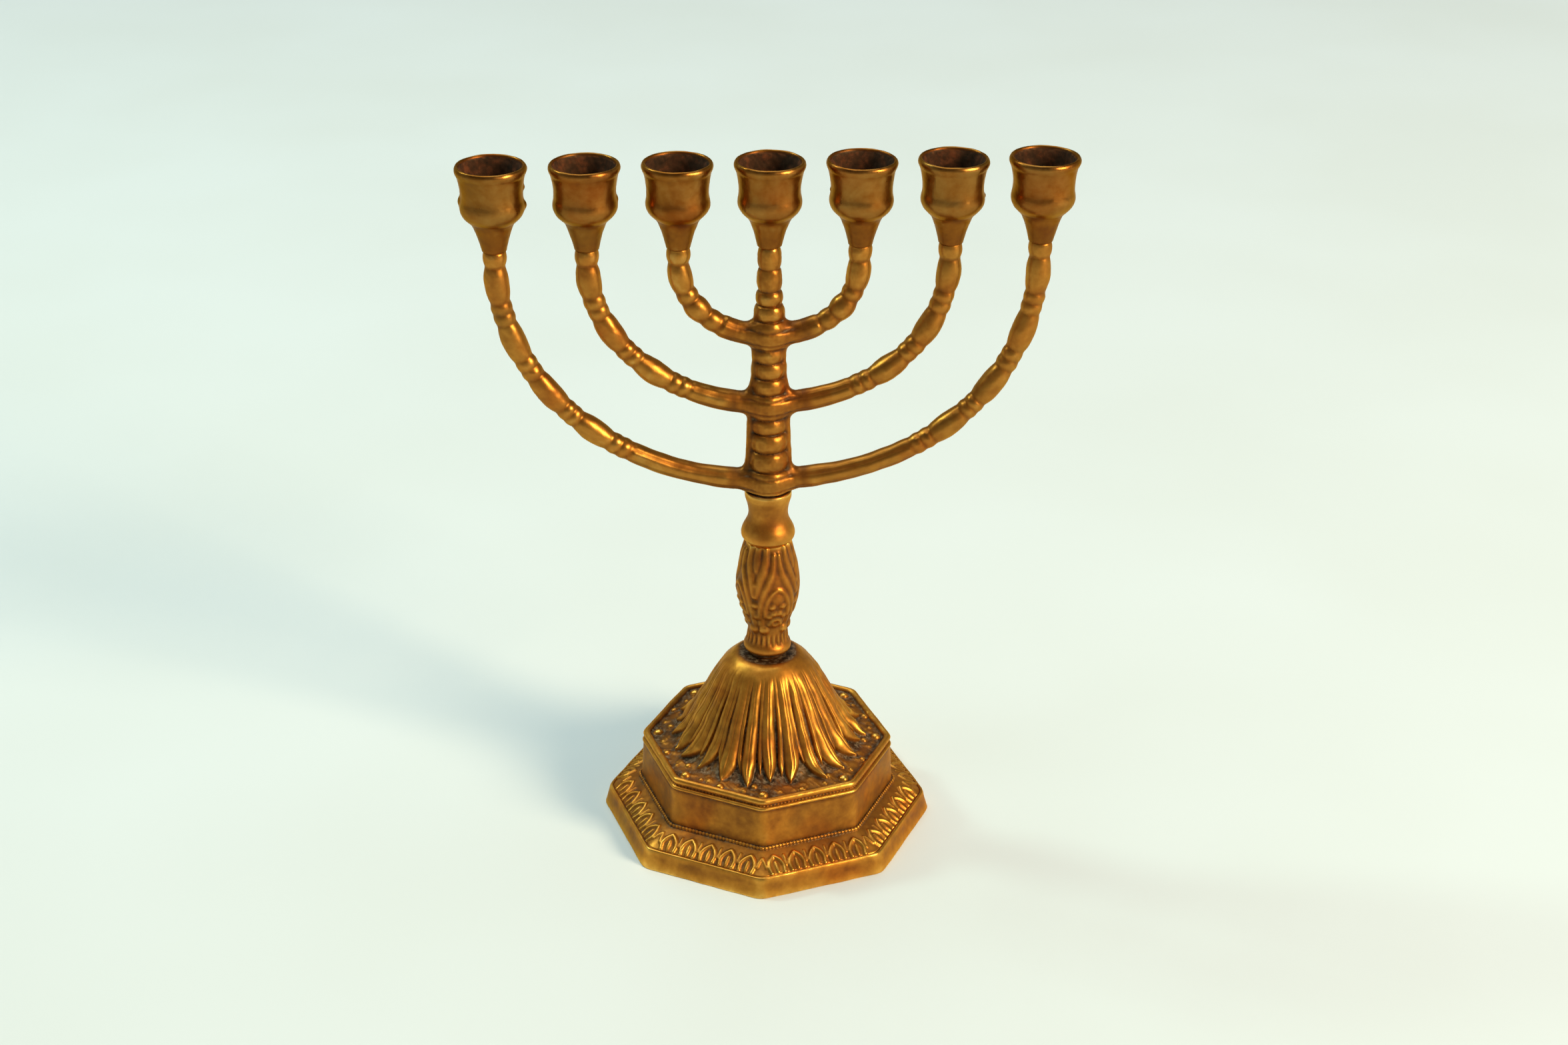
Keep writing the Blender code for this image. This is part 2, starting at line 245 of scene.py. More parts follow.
def grid_piece(node, points, body, material, wrap_rows, wear_and_shade, grime_and_shade=None, inside=None, keep=1.0):
    """The fine piece for a CAD node, from a grid of points that closes around.

    Its rows close too if wrap_rows, and otherwise its two ends are capped. wear_and_shade gives the
    rounds of averaging and the rise that counts as fully rubbed, and keep scales it by row.
    grime_and_shade darkens, as dirt and as painted shade, and inside marks the seats, both by point.
    """
    rows, columns = points.shape[:2]
    worn_and_shaded = wear_of(points, wrap_rows, *wear_and_shade) * keep
    if grime_and_shade is not None:
        worn_and_shaded = worn_and_shaded - 2.0 * grime_and_shade
    index = np.arange(rows * columns).reshape(rows, columns)
    last = rows if wrap_rows else rows - 1
    a = index[:last]
    b = np.roll(index, -1, 0)[:last]
    corners = np.stack([a, b, np.roll(b, -1, 1), np.roll(a, -1, 1)], -1).reshape(-1)
    sizes = np.full(last * columns, 4)
    vertices = points.reshape(-1, 3)
    worn_and_shaded = worn_and_shaded.reshape(-1)
    hidden = np.zeros(len(vertices)) if inside is None else inside.reshape(-1)
    if not wrap_rows:
        first, end = len(vertices), len(vertices) + 1
        vertices = np.vstack([vertices, points[0].mean(0), points[-1].mean(0)])
        worn_and_shaded = np.append(worn_and_shaded, [0, 0])
        hidden = np.append(hidden, [hidden[0], hidden[-1]])
        around = np.roll(index, -1, 1)
        top = np.stack([np.full(columns, first), index[0], around[0]], -1)
        bottom = np.stack([np.full(columns, end), around[-1], index[-1]], -1)
        corners = np.concatenate([corners, top.reshape(-1), bottom.reshape(-1)])
        sizes = np.append(sizes, np.full(2 * columns, 3))
    finish_piece(node, vertices, corners, sizes, worn_and_shaded, hidden, body, material)


def surface_net(field, low, high, cell):
    """Points and quads of the closed surface where field is zero. The field is negative inside."""
    axes = [np.arange(a, b + cell, cell) for a, b in zip(low, high)]
    grid = np.stack(np.meshgrid(*axes, indexing="ij"), -1)
    value = field(grid)
    shape = np.array(value.shape) - 1
    total = np.zeros((*shape, 3))
    hits = np.zeros(shape)
    crossings = []
    for axis in range(3):
        order = [axis, (axis + 1) % 3, (axis + 2) % 3]
        v = value.transpose(order)
        g = grid.transpose([*order, 3])
        first, second = v[:-1], v[1:]
        crosses = (first < 0) != (second < 0)
        part = np.where(crosses, first / np.where(crosses, first - second, 1), 0)
        place = (g[:-1] + part[..., None] * (g[1:] - g[:-1])) * crosses[..., None]
        total_view = total.transpose([*order, 3])
        hits_view = hits.transpose(order)
        for j in (0, 1):
            for k in (0, 1):
                rows = slice(j, place.shape[1] - 1 + j)
                columns = slice(k, place.shape[2] - 1 + k)
                total_view += place[:, rows, columns]
                hits_view += crosses[:, rows, columns]
        crossings.append((order, crosses, first < 0))
    used = hits > 0
    index = np.full(shape, -1)
    index[used] = np.arange(used.sum())
    points = total[used] / hits[used][:, None]
    quads = []
    for order, crosses, outward in crossings:
        cells = index.transpose(order)
        inner = crosses[:, 1:-1, 1:-1]
        around = [cells[:, :-1, :-1], cells[:, 1:, :-1], cells[:, 1:, 1:], cells[:, :-1, 1:]]
        found = np.stack([corner[inner] for corner in around], -1)
        turned_over = ~outward[:, 1:-1, 1:-1][inner]
        found[turned_over] = found[turned_over][:, ::-1]
        quads.append(found)
    return points, np.vstack(quads)


def field_normals(field, points):
    """A field's outward normals at the points, and how steep it is there."""
    step = 0.05
    slopes = [field(points + move) - field(points - move) for move in np.eye(3) * step]
    slope = np.stack(slopes, -1) / (2 * step)
    length = np.maximum(np.linalg.norm(slope, axis=-1, keepdims=True), 1e-6)
    return slope / length, length[..., 0]


def neighbour_average(points, quads, rounds):
    """The points averaged with their neighbours along the quads' edges, this many times."""
    ends = np.vstack([quads[:, [0, 1]], quads[:, [1, 2]], quads[:, [2, 3]], quads[:, [3, 0]]])
    count = sum(np.bincount(ends[:, i], minlength=len(points)) for i in (0, 1))
    for _ in range(rounds):
        total = np.empty_like(points)
        for i in range(3):
            values = points[:, i]
            forth = np.bincount(ends[:, 0], values[ends[:, 1]], len(points))
            total[:, i] = forth + np.bincount(ends[:, 1], values[ends[:, 0]], len(points))
        points = total / count[:, None]
    return points


# ---- materials


class Nodes:
    """A new material, with short ways to add shader nodes. Noise scales are per metre."""

    def __init__(self, name):
        self.material = bpy.data.materials.new(name)
        self.material.use_nodes = True
        self.tree = self.material.node_tree
        self.tree.nodes.clear()
        self.place = self.add("ShaderNodeTexCoord", "Object")

    def put(self, socket, value):
        if isinstance(value, bpy.types.NodeSocket):
            self.tree.links.new(value, socket)
        else:
            socket.default_value = (*value, 1.0) if isinstance(value, tuple) else value

    def add(self, kind, output, inputs=None, **settings):
        """The output of a new node with these inputs, each by its name or number."""
        node = self.tree.nodes.new(kind)
        for key, value in settings.items():
            setattr(node, key, value)
        for key, value in (inputs or {}).items():
            self.put(node.inputs[key], value)
        return node.outputs[output]

    def attribute(self, name):
        return self.add("ShaderNodeAttribute", "Fac", attribute_name=name)

    def noise(self, scale, detail=4.0, roughness=0.55, distortion=0.0):
        inputs = {"Vector": self.place, "Scale": scale, "Detail": detail}
        inputs.update({"Roughness": roughness, "Distortion": distortion})
        return self.add("ShaderNodeTexNoise", "Fac", inputs)

    def math(self, operation, first, second=0.0, clamp=False):
        inputs = {0: first, 1: second}
        return self.add("ShaderNodeMath", 0, inputs, operation=operation, use_clamp=clamp)

    def remap(self, value, low, high, to_low=0.0, to_high=1.0):
        inputs = {"Value": value, "From Min": low, "From Max": high, "To Min": to_low, "To Max": to_high}
        return self.add("ShaderNodeMapRange", "Result", inputs, clamp=True)

    def mix(self, factor, first, second, blend="MIX"):
        inputs = {"Factor": factor, "A": first, "B": second}
        return self.add("ShaderNodeMix", "Result", inputs, data_type="RGBA", blend_type=blend)

    def bump(self, height, strength, distance, under=None):
        inputs = {"Strength": strength, "Distance": distance, "Height": height}
        if under:
            inputs["Normal"] = under
        return self.add("ShaderNodeBump", "Normal", inputs)

    def ramp(self, value, stops):
        colour = self.add("ShaderNodeValToRGB", "Color", {"Fac": value})
        elements = colour.node.color_ramp.elements
        while len(elements) < len(stops):
            elements.new(0.5)
        for element, (position, shade) in zip(elements, stops):
            element.position = position
            element.color = (*shade, 1.0)
        return colour

    def finish(self, inputs):
        shader = self.add("ShaderNodeBsdfPrincipled", "BSDF", inputs)
        end = self.tree.nodes.new("ShaderNodeOutputMaterial")
        self.put(end.inputs["Surface"], shader)
        return self.material


def aged_brass(name, tint, shine, dust, inside_dark=False):
    """Cast brass with dark dirt in its hollows, patches of patina and bright rubbed ridges. It is darker
    still where a piece has painted shade into its values by point.

    tint scales its colours, shine is the roughness of a clean ridge, and dust is how much pale
    dust lies in the hollows. inside_dark stains the cups' seats as burnt candles do, and takes them
    nearly to black as painted shade deep in the bore.
    """
    n = Nodes(name)
    patches = n.noise(95.0, 3.0, 0.6, 0.6)
    mottle = n.noise(480.0, 4.0, 0.62)
    # The value by point runs from rubbed ridges to dirty hollows, with painted shade added in places.
    wear_and_shade = n.math("MULTIPLY", n.attribute("wear_and_shade"), 0.40)
    wear_and_shade = n.math("ADD", wear_and_shade, n.remap(patches, 0.3, 0.7, -0.12, 0.10))
    wear_and_shade = n.math("ADD", wear_and_shade, n.remap(mottle, 0.3, 0.7, -0.07, 0.07))
    level = n.math("ADD", wear_and_shade, 0.5)
    stops = [
        (0.00, (0.006, 0.0020, 0.0006)),
        (0.20, (0.060, 0.0185, 0.0028)),
        (0.40, (0.230, 0.0780, 0.0100)),
        (0.58, (0.420, 0.1600, 0.0210)),
        (0.80, (0.650, 0.2950, 0.0520)),
        (1.00, (0.880, 0.5200, 0.1350)),
    ]
    stops = [(at, tuple(part * scale for part, scale in zip(colour, tint))) for at, colour in stops]
    colour = n.ramp(level, stops)
    red = n.remap(n.noise(70.0, 2.0, 0.5), 0.50, 0.74)
    colour = n.mix(n.math("MULTIPLY", red, 0.40), colour, (0.40, 0.10, 0.030), "SOFT_LIGHT")
    olive = n.remap(n.noise(58.0, 2.0, 0.5, 0.4), 0.54, 0.78)
    colour = n.mix(n.math("MULTIPLY", olive, 0.30), colour, (0.130, 0.095, 0.022))
    specks = n.remap(n.noise(750.0, 5.0, 0.72), 0.46, 0.64)
    hollows = n.math("MULTIPLY", n.remap(level, 0.34, 0.14), n.remap(level, -0.10, 0.04))
    dusty = n.math("MULTIPLY", hollows, specks)
    dusty = n.math("MULTIPLY", dusty, dust)
    colour = n.mix(dusty, colour, (0.33, 0.22, 0.12))
    metal = n.math("SUBTRACT", n.remap(level, 0.05, 0.80, 0.30, 1.0), dusty, clamp=True)
    rough = n.remap(level, 0.15, 0.80, shine + 0.22, shine)
    rough = n.math("ADD", rough, n.remap(mottle, 0.3, 0.7, -0.04, 0.06))
    if inside_dark:
        inner = n.attribute("inside")
        # Partly candle stain, partly painted shade: the near-black stops stand in for the bore's shadow.
        rust = n.ramp(
            n.noise(330.0, 4.0, 0.65),
            [(0.34, (0.006, 0.002, 0.001)), (0.52, (0.038, 0.011, 0.004)), (0.70, (0.125, 0.032, 0.010))],
        )
        colour = n.mix(n.math("MULTIPLY", inner, 0.88), colour, rust)
        metal = n.math("SUBTRACT", metal, inner, clamp=True)
        rough = n.math("ADD", rough, n.math("MULTIPLY", inner, 0.40), clamp=True)
    grain = n.bump(n.noise(5200.0, 2.0, 0.6), 0.14, 0.00005)
    pitted = n.bump(n.noise(1500.0, 3.0, 0.6), 0.18, 0.00008, grain)
    inputs = {"Base Color": colour, "Metallic": metal, "Roughness": rough, "Normal": pitted}
    inputs["Specular Tint"] = (1.0, 0.74, 0.46)
    return n.finish(inputs)


def zinc_plate(name):
    """Dull plated steel with a little brown corrosion."""
    n = Nodes(name)
    mottle = n.noise(900.0, 4.0, 0.6)
    colour = n.ramp(mottle, [(0.3, (0.30, 0.29, 0.27)), (0.7, (0.56, 0.55, 0.52))])
    rust = n.remap(n.noise(260.0, 4.0, 0.7), 0.56, 0.68)
    colour = n.mix(n.math("MULTIPLY", rust, 0.7), colour, (0.16, 0.07, 0.03))
    metal = n.remap(rust, 0.0, 1.0, 1.0, 0.4)
    rough = n.remap(mottle, 0.3, 0.7, 0.34, 0.52)
    grain = n.bump(n.noise(4000.0), 0.12, 0.00005)
    return n.finish({"Base Color": colour, "Metallic": metal, "Roughness": rough, "Normal": grain})


# ---- the foot

FOOT_TURN = math.radians(-5.7)  # the octagon's twist against the branches
SECTOR = math.pi / 4  # one side of the octagon
SIDE_COLUMNS = 120
DOME_EDGE = 27.0  # the radius where the round dome starts to ease into the octagon
EASING = 3.9  # the width over which it does
LEAF_COUNT = 24
LEAF_START = 11.0  # distance from the axis at which the leaves begin
# A leaf's width, as shares of its length and of its widest half.
LEAF_ALONG = (0.0, 0.30, 0.50, 0.66, 0.80, 0.91, 1.0)
LEAF_WIDTHS = (0.5, 0.75, 0.95, 1.0, 0.78, 0.44, 0.0)
BAND_OUTER, BAND_INNER = 41.0, 34.6  # radii of the sloping band of arches
ARCH_PITCH = 5.5


def octagon_share(columns):
    """The octagon's radius by column, as a share of its corners' radius, with corners eased."""
    side = columns // 8
    off = (np.arange(columns) % side) / side * SECTOR - SECTOR / 2
    share = math.cos(SECTOR / 2) / np.cos(off)
    corner_rounds = 38
    for _ in range(corner_rounds):
        share = (np.roll(share, 1) + 2 * share + np.roll(share, -1)) / 4
    return share


def leaf_section(across):
    """A leaf's height across its width, -1 to 1: a round back with a fine vein."""
    body = np.clip(1 - across**2, 0, 1) ** 0.8
    return body - 0.14 * np.exp(-(((across - 0.1) / 0.11) ** 2)) * (body > 0)


def leaf_height(angle, radius, height):
    """The dome's leaves. angle is in degrees from one of the octagon's corners."""
    rng = np.random.default_rng(SEED)
    total = np.zeros(angle.shape)
    start = smoothstep(-height, -46.3, -40.0)  # the leaves fade in below the dome's smooth top
    step = 360 / LEAF_COUNT
    for i in range(LEAF_COUNT):
        for small in (True, False):
            top_angle = step * (i + 0.27) + (step / 2 if small else 0)
            lean = rng.uniform(-2.3, 2.3)
            hook = rng.uniform(-2.4, 2.4)
            tip = rng.uniform(21.6, 23.4) if small else rng.uniform(24.2, 26.6)
            crest = rng.uniform(0.6, 0.9) if small else rng.uniform(1.2, 1.7)
            widest = rng.uniform(0.9, 1.3) if small else rng.uniform(1.8, 2.8)
            along = np.clip((radius - LEAF_START) / (tip - LEAF_START), 0, 1)
            middle = top_angle + lean * (np.sin(math.pi * along) - along**2)
            middle = middle + hook * smoothstep(along, 0.7, 1.0)
            away = np.radians((angle - middle + 180) % 360 - 180) * radius
            half = widest * np.interp(along, LEAF_ALONG, LEAF_WIDTHS)
            half = np.minimum(half, np.radians(step * (0.16 if small else 0.43)) * radius)
            across = np.clip(away / np.maximum(half, 1e-6), -1, 1)
            rise = crest * (0.45 + 0.55 * smoothstep(along, 0.15, 0.65))
            rise = rise * (1 - 0.5 * smoothstep(along, 0.72, 1.0))
            total = np.maximum(total, np.where(along < 1, rise * leaf_section(across) * start, 0))
    hollow = 0.4 * smoothstep(-height, -43.0, -34.0) * np.exp(-((total / 0.3) ** 2))
    return total - hollow * smoothstep(-radius, -26.0, -24.0)


def palmette_height(along, across):
    """The band's arches: along a side from its middle, and across it from its outer edge."""
    x = (along + ARCH_PITCH / 2) % ARCH_PITCH - ARCH_PITCH / 2
    arches = []
    darts = []
    for side in (-1, 1):
        arch = [(1.75 * side, 0.2), (1.95 * side, 1.8), (1.3 * side, 3.4), (0.0, 4.8)]
        arches.append((arch, 0.62, 0.46, 0.1))
        darts.append(([(ARCH_PITCH / 2 * side, 1.7), (ARCH_PITCH / 2 * side, 4.6)], 0.42, 0.32, 0.4))
    arches.append(([(0.0, 0.3), (0.0, 2.9)], 0.62, 0.40, 0.4))
    height = np.where(np.abs(along) < 2.5 * ARCH_PITCH, ridges(x, across, arches), 0.0)
    return np.maximum(height, np.where(np.abs(along) < 2.6 * ARCH_PITCH, ridges(x, across, darts), 0.0))


def foot_profile(top):
    """Rows of (radius, height, how octagonal), down the outside and back up inside the shell."""
    dome = [
        (7.6, top), (8.5, top - 0.35), (9.6, top - 1.15), (10.9, 45.1), (11.9, 43.7), (12.9, 41.7),
        (14.0, 39.4), (15.4, 36.6), (16.7, 33.8), (18.0, 31.0), (19.4, 28.2), (21.2, 25.6),
        (23.1, 23.6), (25.2, 22.3), (DOME_EDGE, 21.8),
    ]
    rows = [(r, z, 0.0) for r, z in spline(dome, 0.28)]
    lip = spline([(DOME_EDGE, 21.8), (28.8, 21.6), (30.4, 21.6), (30.9, 21.75)], 0.3)[1:]
    rows += [(r, z, (r - DOME_EDGE) / EASING) for r, z in lip]
    octagonal = outline(
        (30.9, 21.75),
        (0.16, (31.2, 22.25), (31.8, 22.62), (32.5, 22.45), (32.9, 21.85), (32.7, 21.15)),
        (0.12, (32.25, 20.85), (32.3, 20.5), (32.75, 20.3)),
        (0.14, (33.08, 20.0), (33.08, 19.6), (32.88, 19.2)),
        (0.8, (33.5, 9.6)),
        (0.13, (33.55, 9.1), (33.95, 9.3), (34.3, 9.0), (34.35, 8.62), (BAND_INNER, 8.42)),
        (0.2, (37.8, 7.2), (BAND_OUTER, 5.3)),
        (0.13, (41.15, 5.05), (41.5, 5.35), (41.95, 5.25), (42.25, 4.7)),
        (0.5, (42.75, 2.6), (43.35, 0.5)),
        (0.2, (43.45, 0.15), (43.2, 0.0)),
        (0.6, (40.9, 0.0)),
        (0.3, (40.6, 0.35)),
        (0.8, (40.2, 3.0), (33.4, 6.2), (32.0, 7.6)),
        (1.2, (30.2, 19.0), (29.6, 19.5)),
    )
    rows += [(r, z, 1.0) for r, z in octagonal[1:]]
    within = outline(
        (26.5, 19.5),
        (0.9, (24.2, 19.6), (23.4, 20.4), (20.6, 25.0), (18.5, 28.0), (15.5, 34.0)),
        (0.9, (12.5, 40.0), (10.8, 42.4), (7.9, 44.5)),
        (0.9, (BORE, 44.5)),
        (0.7, (BORE, top)),
        (0.5, (7.6, top)),
    )
    rows += [(r, z, 0.0) for r, z in within[:-1]]
    return np.array(rows)


# Buttons on the plinth's top in each sector: distance from the axis, degrees from a corner,
# their radius and how far they rise. Corners have the big ones.
BUTTONS = (
    (28.6, 0.0, 1.25, 1.0),
    (28.6, 45.0, 1.25, 1.0),
    (25.6, 39.6, 0.85, 0.6),
    (27.6, 21.0, 1.0, 0.75),
    (27.4, 9.0, 0.65, 0.4),
    (27.5, 34.5, 0.65, 0.4),
)


def make_foot(material):
    """The foot: an octagonal plinth under a dome of leaves, hollow below."""
    top = node_box("foot_casting")[1][2]
    rows = foot_profile(top)
    radius, height, share = rows.T
    columns = 8 * SIDE_COLUMNS
    ones = np.ones(columns)
    angle = FOOT_TURN + round_angles(columns)
    r = radius[:, None] * (share[:, None] * octagon_share(columns) + 1 - share[:, None])
    points = np.stack([r * np.cos(angle), r * np.sin(angle), height[:, None] * ones], -1)

    # The rows on the outside, and of those the dome and the plinth's top.
    outside = np.arange(len(rows)) < np.argmax((radius > 43.3) & (height < 0.3))
    upper = (outside & (height > 21.2))[:, None] * ones > 0
    from_corner = np.degrees(round_angles(columns)) * np.ones(r.shape)
    leaves = np.where(upper, leaf_height(from_corner, r, points[..., 2]), 0.0)
    relief = leaves * (1 + 0.12 * waves(points, 5.0, 3))

    # Out from the axis and along the side, in each of the eight sectors.
    off = (np.arange(columns) % SIDE_COLUMNS) / SIDE_COLUMNS * SECTOR - SECTOR / 2
    x, y = r * np.cos(off), r * np.sin(off)
    buttons = np.zeros(r.shape)
    for distance, degrees, size, rise in BUTTONS:
        turn = math.radians(degrees) - SECTOR / 2
        place = (distance * math.cos(turn), distance * math.sin(turn))
        buttons = np.maximum(buttons, pellets(x, y, [place], size, rise))
    lumps = 0.05 * waves(points, 1.0, 5) + 0.16 * waves(points, 3.0, 6)
    lumps = lumps * smoothstep(-r, -29.6, -28.4) * smoothstep(r, 21.5, 23.0) * (leaves < 0.1) * upper
    relief += np.where(upper, np.maximum(buttons, lumps), 0.0)

    band = (radius > BAND_INNER - 0.01) & (radius < BAND_OUTER + 0.01) & (height > 5.2) & outside
    across = (BAND_OUTER - radius)[:, None] * 1.05 * ones
    relief += np.where(band[:, None], palmette_height(y, across), 0.0)

    strand = 0.95
    twist = np.sin(y * TURN / strand)
    foot_cord = (height > 8.6) & (height < 9.4) & (radius > 33.7) & outside
    lip_cord = (height > 20.4) & (height < 21.1) & (radius < 32.6) & (radius > 31.9) & outside
    relief += 0.10 * twist * (foot_cord | lip_cord)[:, None]
    relief += unevenness(points, 9.0, 0.04, 8) + unevenness(points, 3.0, 0.015, 9)
    relief = np.where((height < 0.05)[:, None], 0.0, relief)
    points = points + relief[..., None] * grid_normals(points, True)
    points[..., 2] = np.clip(points[..., 2], 0.0, top)
    # Dirt on the ground between the leaves and the buttons.
    grime_and_shade = np.where(upper & (leaves < 0.12) & (buttons < 0.1) & (r < 30.0) & (r > 14.0), 0.12, 0.0)
    grime_and_shade = averaged(grime_and_shade[..., None], False, 6)[..., 0]
    # Painted shade: the flat under the stem, where the vase's flange shades it, the plinth's inner
    # corner and the outer edge are darkened too.
    grime_and_shade += 0.7 * (smoothstep(-radius, -9.4, -6.8) * (height > 46))[:, None]
    corner = (radius > 33.3) & (radius < 34.5) & (height > 8.3) & (height < 9.7) & outside
    skirt = (radius > 42.4) & (height < 4.5) & outside
    grime_and_shade += (0.10 * corner + 0.07 * skirt)[:, None]
    grid_piece("foot_casting", points, "foot", material, True, (44, 0.46), grime_and_shade)


# ---- the stem

MOTIF_TURN = math.radians(-74.0)  # where one of the vase's four leaf motifs has its middle

# Half of the vase's leaf motif, and the other half mirrors it: (points as degrees from its middle
# and height, half width, crest).
VASE_LEAVES = (
    (
        ((6.0, 78.2), (7.5, 75.6), (12.5, 73.0), (21.0, 70.4), (29.0, 67.4), (34.5, 63.8), (37.0, 60.6)),
        1.15,
        0.56,
    ),
    (((24.5, 79.8), (25.5, 76.6), (30.5, 73.6), (37.5, 70.8), (43.0, 67.0)), 1.25, 0.56),
    (((43.5, 79.8), (43.0, 76.6), (45.0, 74.0)), 1.0, 0.42),
    (((0.0, 69.2), (10.0, 68.5), (19.0, 66.4), (25.0, 63.6), (26.0, 61.0)), 0.9, 0.50),
    (((33.0, 60.6), (36.0, 58.6), (35.0, 57.0)), 1.0, 0.40),
)
# Lobes and pellets of the same motif: (degrees, height, radius, crest).
VASE_LOBES = (
    (0.0, 66.3, 1.7, 0.38),
    (10.5, 64.2, 0.95, 0.60),
    (5.5, 62.0, 0.95, 0.55),
    (16.0, 61.0, 0.85, 0.45),
    (0.0, 59.0, 1.65, 0.66),
    (13.0, 58.2, 0.8, 0.42),
    (45.0, 70.4, 1.0, 0.62),
    (45.0, 64.4, 1.1, 0.60),
    (45.0, 60.6, 1.0, 0.52),
    (30.0, 56.4, 1.35, 0.80),
)


def vase_relief(angle, height, radius):
    """The vase's leaves, lobes and flutes, from the angle, height and radius of each point."""
    quarter = math.pi / 2
    x = ((angle - MOTIF_TURN + quarter / 2) % quarter - quarter / 2) * radius
    found = np.zeros(x.shape)
    levels = np.arange(48.0, 82.0)
    girth = np.interp(levels, height.mean(1)[::-1], radius.mean(1)[::-1])
    for side in (-1, 1):
        for line, half_width, crest in VASE_LEAVES:
            stroke = [(side * math.radians(turn) * np.interp(z, levels, girth), z) for turn, z in line]
            found = np.maximum(found, ridges(x, height, [(stroke, half_width, crest, 0.35)], 1.1))
        for turn, z, size, crest in VASE_LOBES:
            centre = side * math.radians(turn) * np.interp(z, levels, girth)
            found = np.maximum(found, pellets(x, height, [(centre, z)], size, crest))
    found -= 0.45 * pellets(x, height, [(0.0, 59.0)], 0.8, 1.0)  # the middle lobe's dimple
    flute_count, flute_height = 24, 53.2
    flute = 0.24 * np.cos(angle * flute_count)
    flute = flute * smoothstep(-np.abs(height - flute_height), -1.9, -0.4)
    return averaged((found + flute)[..., None], False, 7)[..., 0]


def make_vase(material):
    """The leaf-cast vase, whose flange stands on the foot."""
    bottom = node_box("foot_casting")[1][2] + 0.05
    top = STEM_JOINT + 0.1
    side = [
        (5.75, 79.0), (6.1, 77.6), (6.6, 75.6), (7.05, 73.2), (7.45, 70.8), (7.72, 68.2),
        (7.6, 65.4), (7.0, 62.3), (6.05, 59.5), (5.35, 57.3), (5.15, 55.6), (5.05, 53.9), (5.2, 52.6),
        (5.5, 51.6), (5.9, 50.8),
    ]
    flange = [(6.08, 50.2), (6.05, 49.5), (5.75, 48.95), (5.1, 48.6)]
    profile = outline(
        (BORE, top),
        (0.5, (5.5, top)),
        (0.15, *side),
        (0.14, *flange),
        (0.2, (4.8, bottom)),
        (0.6, (BORE, bottom)),
        (1.5, (BORE, top)),
    )[:-1]
    points = turned(profile, 400)
    radius = np.hypot(points[..., 0], points[..., 1])
    height = points[..., 2]
    # The rows from the top edge down to the flange carry the leaves.
    first = np.argmax(profile[:, 0] > 5.4)
    last = np.argmax(profile[:, 1] < 50.8)
    relief = np.zeros(radius.shape)
    on_side = slice(first + 1, last)
    angle = np.arctan2(points[on_side, :, 1], points[on_side, :, 0])
    relief[on_side] = vase_relief(angle, height[on_side], radius[on_side])
    relief += np.where(radius > 4.0, unevenness(points, 4.0, 0.04, 22), 0.0)
    points = points + relief[..., None] * grid_normals(points, True)
    # Painted shade: the neck under the flange, in the gap above the foot, is darkened.
    grime_and_shade = np.where((height < 48.8) & (radius < 5.6), 0.8, 0.0)
    grid_piece("stem_vase", points, "stem", material, True, (40, 0.34), grime_and_shade)


def make_collar(material):
    """The smooth spool between the vase and the head."""
    top = node_box("stem_collar")[1][2]
    bottom = STEM_JOINT + 0.02
    profile = outline(
        (BORE, top),
        (0.5, (5.4, top)),
        (0.12, (5.75, top - 0.12), (5.88, top - 0.5)),
        (0.15, (5.84, 92.5), (5.62, 91.7)),
        (0.2, (5.25, 90.4), (5.02, 88.9), (5.02, 87.6), (5.3, 86.3), (5.85, 85.1)),
        (0.15, (6.4, 84.0), (6.75, 82.9), (6.82, 82.1), (6.68, 81.4), (6.35, 80.9)),
        (0.15, (5.7, bottom)),
        (0.6, (BORE, bottom)),
        (1.5, (BORE, top)),
    )[:-1]
    points = turned(profile, 160)
    radius = np.hypot(points[..., 0], points[..., 1])
    relief = np.where(radius > 4.5, unevenness(points, 5.0, 0.035, 31), 0.0)
    points = points + relief[..., None] * grid_normals(points, True)
    points[..., 2] = np.minimum(points[..., 2], top)
    # Painted shade: the collar's flat top, under the column's hub, is darkened.
    grime_and_shade = np.where((radius < 5.5) & (points[..., 2] > top - 0.1), 0.9, 0.0)
    grid_piece("stem_collar", points, "stem", material, True, (60, 0.40), grime_and_shade)


# ---- the head

LEVEL = 155.0  # height at which the branches start to curve down
CUP_SPACING = 21.7
CUP_BASE = 158.8  # height of the joints between the branches and the cups
TUBE = 2.75  # a branch's radius beside the column
SEAM = 8.9  # distance from the axis at which the column's stubs meet the branches

# Each branch: its reach and drop, its fullness on the left and the right, the arc lengths at which
# barrels start and end, the beads between them, and the radius of its plain stretch.
BRANCHES = {
    "inner": (CUP_SPACING, 19.1, (0.97, 0.90), (0.0, 7.1, 10.4, 15.6, 19.7), 1, 2.7),
    "middle": (2 * CUP_SPACING, 37.2, (1.01, 0.945), (0.0, 8.0, 14.1, 22.8, 28.5, 37.5, 43.1), 2, 2.55),
    "outer": (
        3 * CUP_SPACING,
        58.0,
        (1.0, 0.93),
        (0.0, 8.9, 14.9, 24.5, 30.5, 40.4, 45.7, 55.0, 61.0),
        2,
        2.52,
    ),
}
BRANCH_SEEDS = {"inner": 50, "middle": 60, "outer": 70}


def bulge(part, power):
    """A barrel's swell along its length, 0 at both ends and 1 in the middle."""
    return np.sin(math.pi * np.clip(part, 0, 1)) ** power


def centre_height(size, side, distance):
    """The height of a branch's centre line at a distance from the axis, on one side."""
    reach, drop, fullness = BRANCHES[size][:3]
    power = fullness[side > 0]
    turn = np.arccos(np.clip(distance / reach, 0, 1) ** (1 / power))
    return LEVEL - drop * np.sin(turn) ** power


